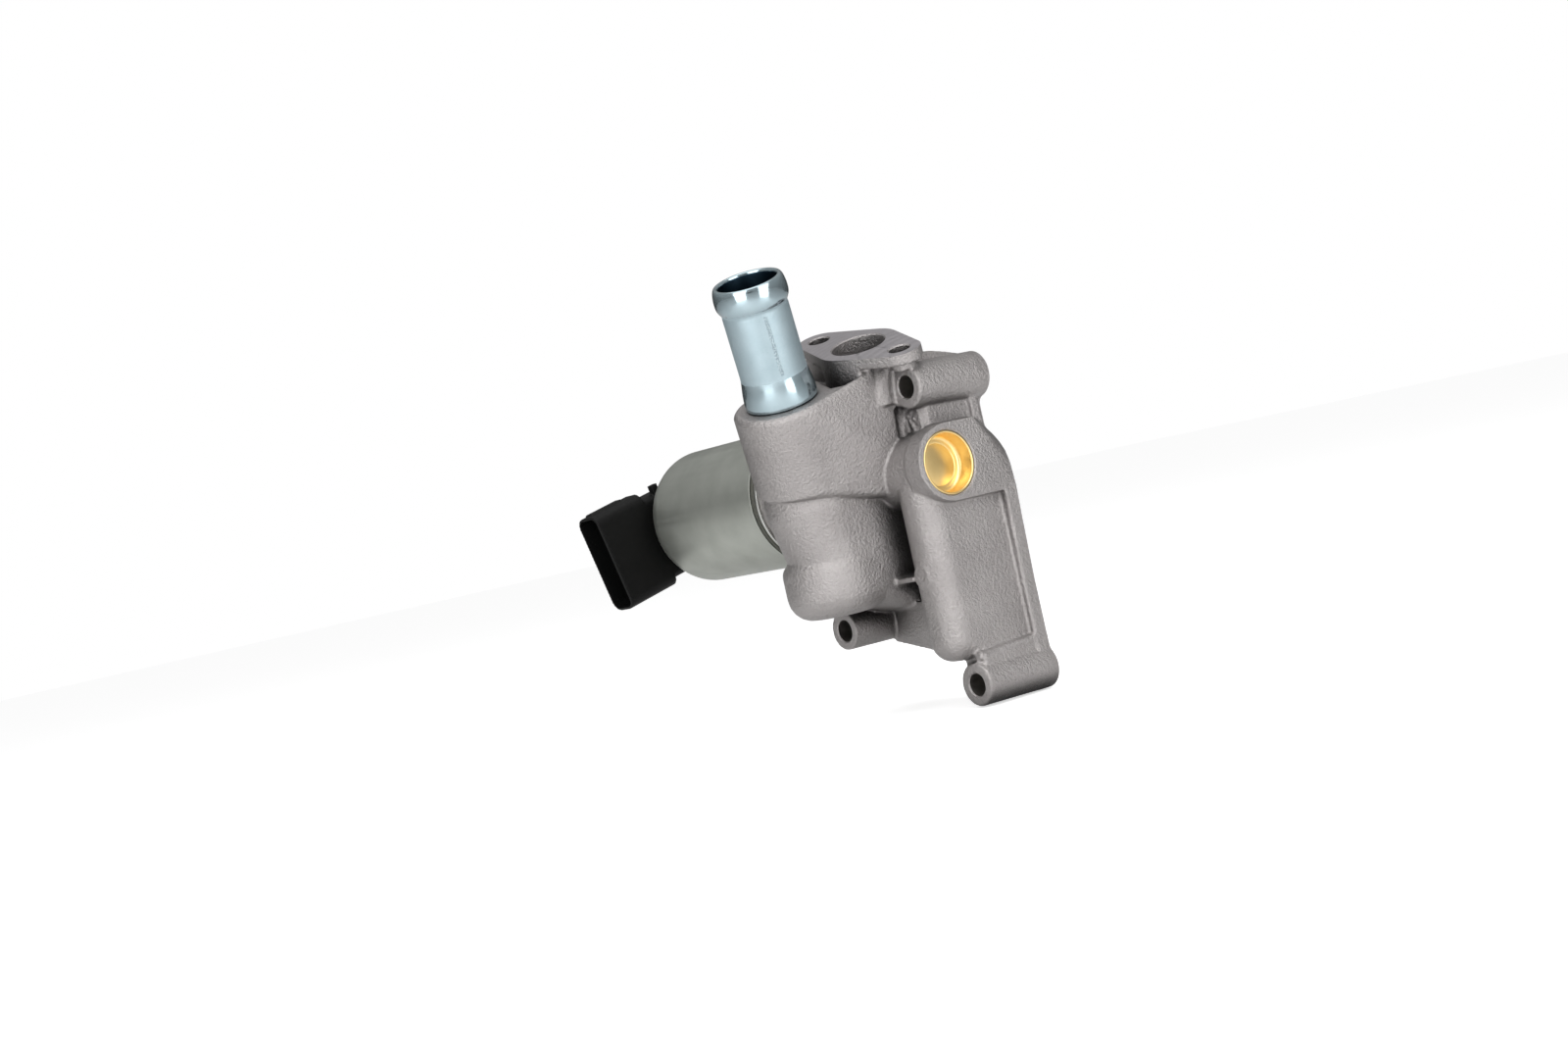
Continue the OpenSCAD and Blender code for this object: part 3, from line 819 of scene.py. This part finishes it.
# base plate: the turned disc with broken edges
print("base plate")
basePlate = copyNode("base_plate", "basePlate")
brokenEdges(basePlate, 0.22)
dress(basePlate, finishes["turnedSteel"])
finishPiece(basePlate, "base_plate")

# connector: the moulded neck and hood get soft edges, then the socket's mouth is cut clean
print("connector")
connectorLook = {
    "voxel": 0.28, "smoothTurns": 3, "faces": 90000,
    # the socket's turn round the valve axis, and its mouth in mm in the socket's own frame
    "turn": 13.3, "mouth": ((-140.4, -40, -15.9), (-129.9, -23, 15.9)), "mouthRadius": 2.4,
}
socketPlace = (Matrix.Translation((0, axisY, axisZ))
               @ Matrix.Rotation(math.radians(connectorLook["turn"]), 4, "X"))


def softBlock(low, high, radius, place):
    # a block whose long edges along Y are rounded
    block = blockAt("block", low, high)
    activate(block)
    bpy.context.tool_settings.mesh_select_mode = (False, True, False)
    bpy.ops.object.mode_set(mode="EDIT")
    bpy.ops.mesh.select_all(action="DESELECT")
    leaveEdit()
    for edge in block.data.edges:
        start, end = (block.data.vertices[i].co for i in edge.vertices)
        edge.select = abs((end - start).normalized().y) > 0.99
    bpy.ops.object.mode_set(mode="EDIT")
    bpy.ops.mesh.bevel(offset=radius * mm, segments=6, affect="EDGES")
    leaveEdit()
    block.matrix_world = place
    applyPlace(block)
    return block


def makeConnector():
    look = connectorLook
    shell = copyNode("connector_shell", "connectorShell")
    roundedAll(shell, look)
    cutWith(shell, softBlock(*look["mouth"], look["mouthRadius"], socketPlace))
    dress(shell, finishes["glassFilledNylon"])
    finishPiece(shell, "connector_shell", angle=50)
    print("connector faces", len(shell.data.polygons))


makeConnector()

# contact pins: stamped blades with coined tips
print("contact pins")
contactPins = copyNode("contact_pins", "contactPins")
brokenEdges(contactPins, 0.14)
dress(contactPins, finishes["tinnedBrass"])
finishPiece(contactPins, "contact_pins")

# return spring: the CAD spring, in its own copy of the mesh
print("return spring")
returnSpring = copyNode("return_spring", "returnSpring")
dress(returnSpring, finishes["springWire"])
finishPiece(returnSpring, "return_spring")
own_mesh(returnSpring)


# floor, world and lamps: a white studio tent
print("stage")
stageLook = {
    "floor": "#F2F2F2", "floorRoughness": 0.9, "floorSize": 12, "floorDrop": 0.2, "lift": 0.6,
    "horizon": 0.29, "zenith": 0.5,
    # the dark gap between the soft boxes, where the photographer stands; angles in degrees
    "gap": 0.1, "gapWidth": 9, "gapTurn": 4, "gapEdge": 0.004,
    # how dim the tent's far side is, from where to where, and how fast that clears with height
    "far": 0.12, "farRange": (-0.8, 0.2), "farRise": 1.2,
}


def makeFloor():
    level = cadBox[0][2] - stageLook["floorDrop"] * mm
    deselect()
    bpy.ops.mesh.primitive_plane_add(size=stageLook["floorSize"], location=(0, 0, level))
    floor = bpy.context.object
    floor.name = "floor"
    applyPlace(floor)
    material, tree, shader = newMaterial("paintedFloor", 0)[:3]
    shader.inputs["Base Color"].default_value = colour(stageLook["floor"])
    shader.inputs["Roughness"].default_value = stageLook["floorRoughness"]
    shader.inputs["Specular IOR Level"].default_value = 0
    seen = addNode(tree, "LightPath", {}).outputs["Is Camera Ray"]
    lift = addNode(tree, "MapRange", {"Value": seen, "To Max": stageLook["lift"]}).outputs["Result"]
    tree.links.new(lift, shader.inputs["Emission Strength"])
    shader.inputs["Emission Color"].default_value = (1, 1, 1, 1)
    dress(floor, material)


def makeWorld(aim):
    look = stageLook
    world = bpy.data.worlds.new("studioTent")
    bpy.context.scene.world = world
    world.use_nodes = True
    tree = world.node_tree
    background = tree.nodes["Background"]
    seen = addNode(tree, "LightPath", {}).outputs["Is Camera Ray"]
    heading = addNode(tree, "TexCoord", {}).outputs["Generated"]
    height = addNode(tree, "SeparateXYZ", {0: heading}).outputs["Z"]
    tent = addNode(tree, "MapRange", {"Value": height, "To Min": look["horizon"],
                                      "To Max": look["zenith"]}).outputs["Result"]
    facing = addNode(tree, "VectorMath", {0: heading, 1: aim}, operation="DOT_PRODUCT").outputs["Value"]
    wide = math.cos(math.radians(look["gapWidth"]))
    gap = addNode(tree, "MapRange", {"Value": facing, "From Min": wide, "From Max": wide + look["gapEdge"],
                                     "To Min": 1, "To Max": look["gap"]}).outputs["Result"]
    tent = addNode(tree, "Math", {0: tent, 1: gap}, operation="MULTIPLY").outputs[0]
    # the tent's far side gets less light than the side of the soft boxes
    raised = addNode(tree, "Math", {0: height, 1: look["farRise"], 2: facing},
                     operation="MULTIPLY_ADD").outputs[0]
    farStart, farEnd = look["farRange"]
    far = addNode(tree, "MapRange", {"Value": raised, "From Min": farStart, "From Max": farEnd,
                                     "To Min": look["far"], "To Max": 1}).outputs["Result"]
    tent = addNode(tree, "Math", {0: tent, 1: far}, operation="MULTIPLY").outputs[0]
    strength = addNode(tree, "Math", {0: tent, 1: seen}, operation="MAXIMUM").outputs[0]
    background.inputs["Color"].default_value = (1, 1, 1, 1)
    tree.links.new(strength, background.inputs["Strength"])


makeFloor()

# camera where the photograph was taken from: place in mm, its right and up directions, lens in mm
cameraLook = {"place": (505.56, -455.26, 64.45), "right": (0.5805, 0.7854, -0.2150),
              "up": (0.1205, 0.1783, 0.9766), "lens": 51.75, "sensor": 36}


def makeCamera():
    right = Vector(cameraLook["right"]).normalized()
    back = right.cross(Vector(cameraLook["up"])).normalized()
    upward = back.cross(right)
    data = bpy.data.cameras.new("studioCamera")
    data.lens = cameraLook["lens"]
    data.sensor_width = cameraLook["sensor"]
    camera = bpy.data.objects.new("studioCamera", data)
    turn = Matrix((right, upward, back)).transposed().to_4x4()
    camera.matrix_world = Matrix.Translation(Vector(cameraLook["place"]) * mm) @ turn
    bpy.context.collection.objects.link(camera)
    bpy.context.scene.camera = camera
    return camera


camera = makeCamera()

# soft boxes: degrees from the camera's heading as seen from the object, degrees of height,
# distance and size in metres, and watts
lampLook = {
    "leftBox": {"turn": -27, "rise": 17, "far": 0.36, "size": (0.2, 0.36), "power": 0.75},
    "rightBox": {"turn": 36, "rise": 17, "far": 0.36, "size": (0.17, 0.36), "power": 0.6},
    "topBox": {"turn": -10, "rise": 75, "far": 0.9, "size": (0.9, 0.9), "power": 4.4},
}


def makeLamps():
    middle = (Vector(cadBox[0]) + Vector(cadBox[1])) / 2
    toCamera = camera.matrix_world.translation - middle
    heading = math.atan2(toCamera.y, toCamera.x)
    for name, look in lampLook.items():
        data = bpy.data.lights.new(name, "AREA")
        data.shape = "RECTANGLE"
        data.size, data.size_y = look["size"]
        data.energy = look["power"]
        lamp = bpy.data.objects.new(name, data)
        angle = heading + math.radians(look["turn"])
        rise = math.radians(look["rise"])
        away = Vector((math.cos(angle) * math.cos(rise), math.sin(angle) * math.cos(rise), math.sin(rise)))
        lamp.matrix_world = (Matrix.Translation(middle + away * look["far"])
                             @ away.to_track_quat("Z", "Y").to_matrix().to_4x4())
        lamp.visible_camera = False
        bpy.context.collection.objects.link(lamp)


makeLamps()
makeWorld(Matrix.Rotation(math.radians(stageLook["gapTurn"]), 3, "Z")
          @ camera.matrix_world.translation.normalized())
bpy.context.scene.view_settings.view_transform = "Standard"
